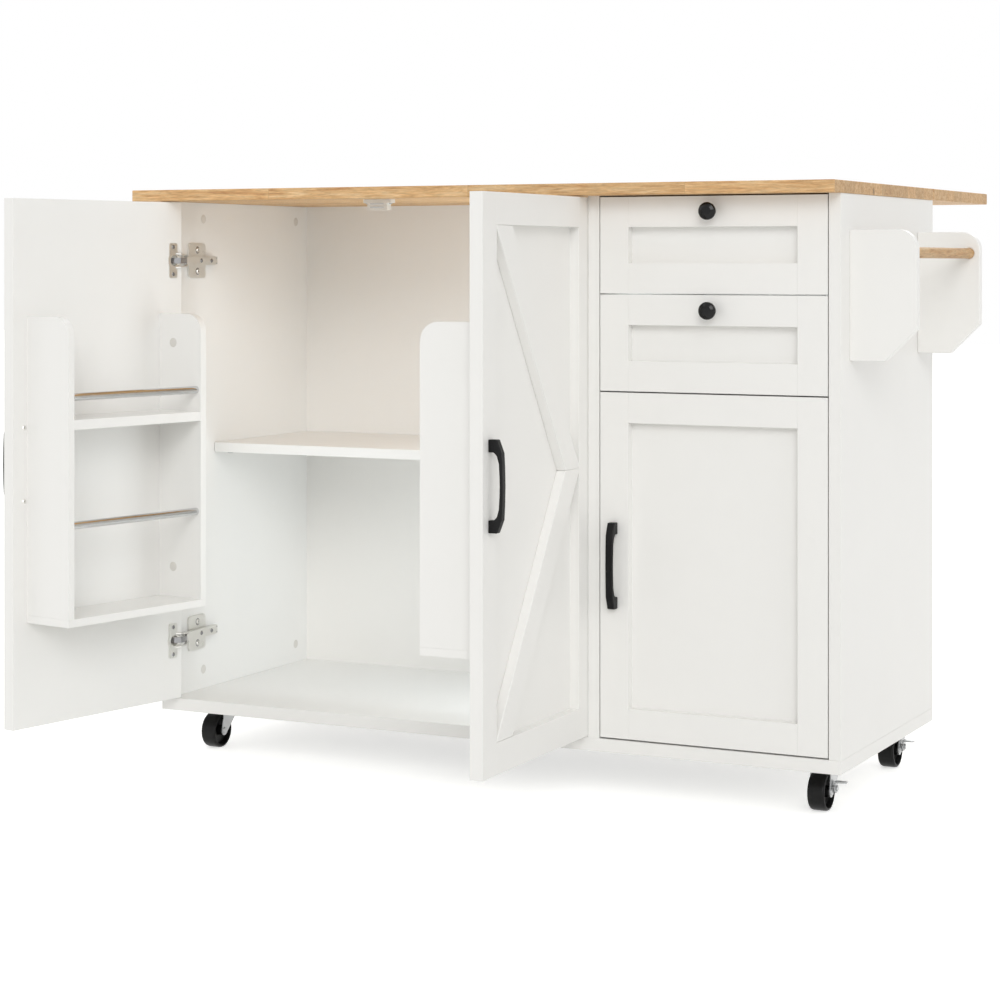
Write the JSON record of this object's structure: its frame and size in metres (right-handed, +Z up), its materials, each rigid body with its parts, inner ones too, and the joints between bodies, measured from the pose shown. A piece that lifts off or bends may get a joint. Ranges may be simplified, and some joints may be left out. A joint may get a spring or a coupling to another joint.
{
  "type": "kitchen island",
  "caption": "Kitchen island on casters with double doors that carry racks, a cupboard, drawers, a towel rail and an oak worktop with a drop leaf.",
  "frame": {"origin": "on the floor under the centre of the carcass footprint", "axes": "+Z up, -Y to the doors' side, +Y to the drop leaf, +X to the drawers and the towel rail"},
  "size_m": [1.313, 1.1719, 0.915],
  "materials": {
    "white_paint": "satin white paint on board",
    "oak": "oiled oak",
    "black_metal": "satin black",
    "zinc_steel": "zinc plated",
    "nickel": "nickel plated",
    "polished_steel": "polished",
    "white_plastic": "moulded",
    "black_plastic": "moulded"
  },
  "bodies": {
    "cabinet": {"base_board": "white_paint", "left_side_panel": "white_paint", "right_side_panel": "white_paint", "centre_divider": "white_paint", "left_back_board": "white_paint", "right_back_board": "white_paint", "main_shelf": "white_paint", "cupboard_shelf": "white_paint", "drawer_deck": "white_paint", "shelf_pins": "zinc_steel", "worktop": "oak", "bracket_legs": "zinc_steel", "magnetic_catch": "white_plastic", "hinge_arms": "nickel", "runner_channels": "zinc_steel", "towel_front_plate": "white_paint", "towel_rear_plate": "white_paint", "towel_rail": "oak", "caster_plates": "zinc_steel"},
    "leaf": {"drop_leaf": "oak", "bracket_arms": "zinc_steel"},
    "struts": {"bracket_struts": "zinc_steel"},
    "left_door": {"left_door": "white_paint", "left_door_frame": "white_paint", "left_handle": "black_metal", "left_hinge_cups": "nickel", "left_rack_sides": "white_paint", "left_rack_shelves": "white_paint", "left_rack_rails": "polished_steel"},
    "right_door": {"right_door": "white_paint", "right_door_frame": "white_paint", "right_handle": "black_metal", "right_hinge_cups": "nickel", "right_rack_sides": "white_paint", "right_rack_shelves": "white_paint", "right_rack_rails": "polished_steel"},
    "lower_door": {"lower_door": "white_paint", "lower_door_frame": "white_paint", "lower_handle": "black_metal", "lower_hinge_cups": "nickel"},
    "upper_drawer": {"upper_drawer_front": "white_paint", "upper_drawer_box": "white_paint", "upper_knob": "black_metal", "upper_slides": "zinc_steel"},
    "lower_drawer": {"lower_drawer_front": "white_paint", "lower_drawer_box": "white_paint", "lower_knob": "black_metal", "lower_slides": "zinc_steel"},
    "fork_fl": {"fork_fl": "zinc_steel"},
    "wheel_fl": {"wheel_fl": "black_plastic"},
    "fork_fr": {"fork_fr": "zinc_steel"},
    "wheel_fr": {"wheel_fr": "black_plastic"},
    "fork_rl": {"fork_rl": "zinc_steel"},
    "wheel_rl": {"wheel_rl": "black_plastic"},
    "fork_rr": {"fork_rr": "zinc_steel"},
    "wheel_rr": {"wheel_rr": "black_plastic"},
    "brake_front": {"brake_front": "zinc_steel"},
    "brake_rear": {"brake_rear": "zinc_steel"}
  },
  "joints": [
    {"name": "leaf_fold", "type": "hinge", "parent": "cabinet", "child": "leaf", "pos_m": [0, 0.2295, 0.887], "axis": [-1, 0, 0], "range_deg": [0, 90]},
    {"name": "strut_fold", "type": "hinge", "parent": "cabinet", "child": "struts", "pos_m": [0, 0.2295, 0.777], "axis": [-1, 0, 0], "range_deg": [0, 127.77]},
    {"name": "left_door_swing", "type": "hinge", "parent": "cabinet", "child": "left_door", "pos_m": [-0.5529, -0.2361, 0.4935], "axis": [0, 0, -1], "range_deg": [-100.5, 3.5]},
    {"name": "right_door_swing", "type": "hinge", "parent": "cabinet", "child": "right_door", "pos_m": [0.1809, -0.2361, 0.4935], "axis": [0, 0, 1], "range_deg": [-90.5, 1.5]},
    {"name": "lower_door_swing", "type": "hinge", "parent": "cabinet", "child": "lower_door", "pos_m": [0.5529, -0.2361, 0.3485], "axis": [0, 0, 1], "range_deg": [0, 104]},
    {"name": "upper_drawer_slide", "type": "slide", "parent": "cabinet", "child": "upper_drawer", "axis": [0, -1, 0], "range_m": [0, 0.28]},
    {"name": "lower_drawer_slide", "type": "slide", "parent": "cabinet", "child": "lower_drawer", "axis": [0, -1, 0], "range_m": [0, 0.28]},
    {"name": "swivel_fl", "type": "hinge", "parent": "cabinet", "child": "fork_fl", "pos_m": [-0.518, -0.1385, 0.06], "axis": [0, 0, 1], "continuous": true},
    {"name": "roll_fl", "type": "hinge", "parent": "fork_fl", "child": "wheel_fl", "pos_m": [-0.518, -0.1585, 0.028], "axis": [1, 0, 0], "continuous": true},
    {"name": "swivel_fr", "type": "hinge", "parent": "cabinet", "child": "fork_fr", "pos_m": [0.518, -0.1385, 0.06], "axis": [0, 0, 1], "continuous": true},
    {"name": "roll_fr", "type": "hinge", "parent": "fork_fr", "child": "wheel_fr", "pos_m": [0.518, -0.1585, 0.028], "axis": [1, 0, 0], "continuous": true},
    {"name": "swivel_rl", "type": "hinge", "parent": "cabinet", "child": "fork_rl", "pos_m": [-0.518, 0.2095, 0.06], "axis": [0, 0, 1], "continuous": true},
    {"name": "roll_rl", "type": "hinge", "parent": "fork_rl", "child": "wheel_rl", "pos_m": [-0.518, 0.1895, 0.028], "axis": [1, 0, 0], "continuous": true},
    {"name": "swivel_rr", "type": "hinge", "parent": "cabinet", "child": "fork_rr", "pos_m": [0.518, 0.2095, 0.06], "axis": [0, 0, 1], "continuous": true},
    {"name": "roll_rr", "type": "hinge", "parent": "fork_rr", "child": "wheel_rr", "pos_m": [0.518, 0.1895, 0.028], "axis": [1, 0, 0], "continuous": true},
    {"name": "brake_front_press", "type": "hinge", "parent": "fork_fr", "child": "brake_front", "pos_m": [0.537, -0.1495, 0.032], "axis": [1, 0, 0], "range_deg": [0, 18]},
    {"name": "brake_rear_press", "type": "hinge", "parent": "fork_rr", "child": "brake_rear", "pos_m": [0.537, 0.1985, 0.032], "axis": [1, 0, 0], "range_deg": [0, 18]}
  ],
  "couplings": [
    {"joint": "strut_fold", "follows": "leaf_fold", "ratio": 1.4185}
  ]
}
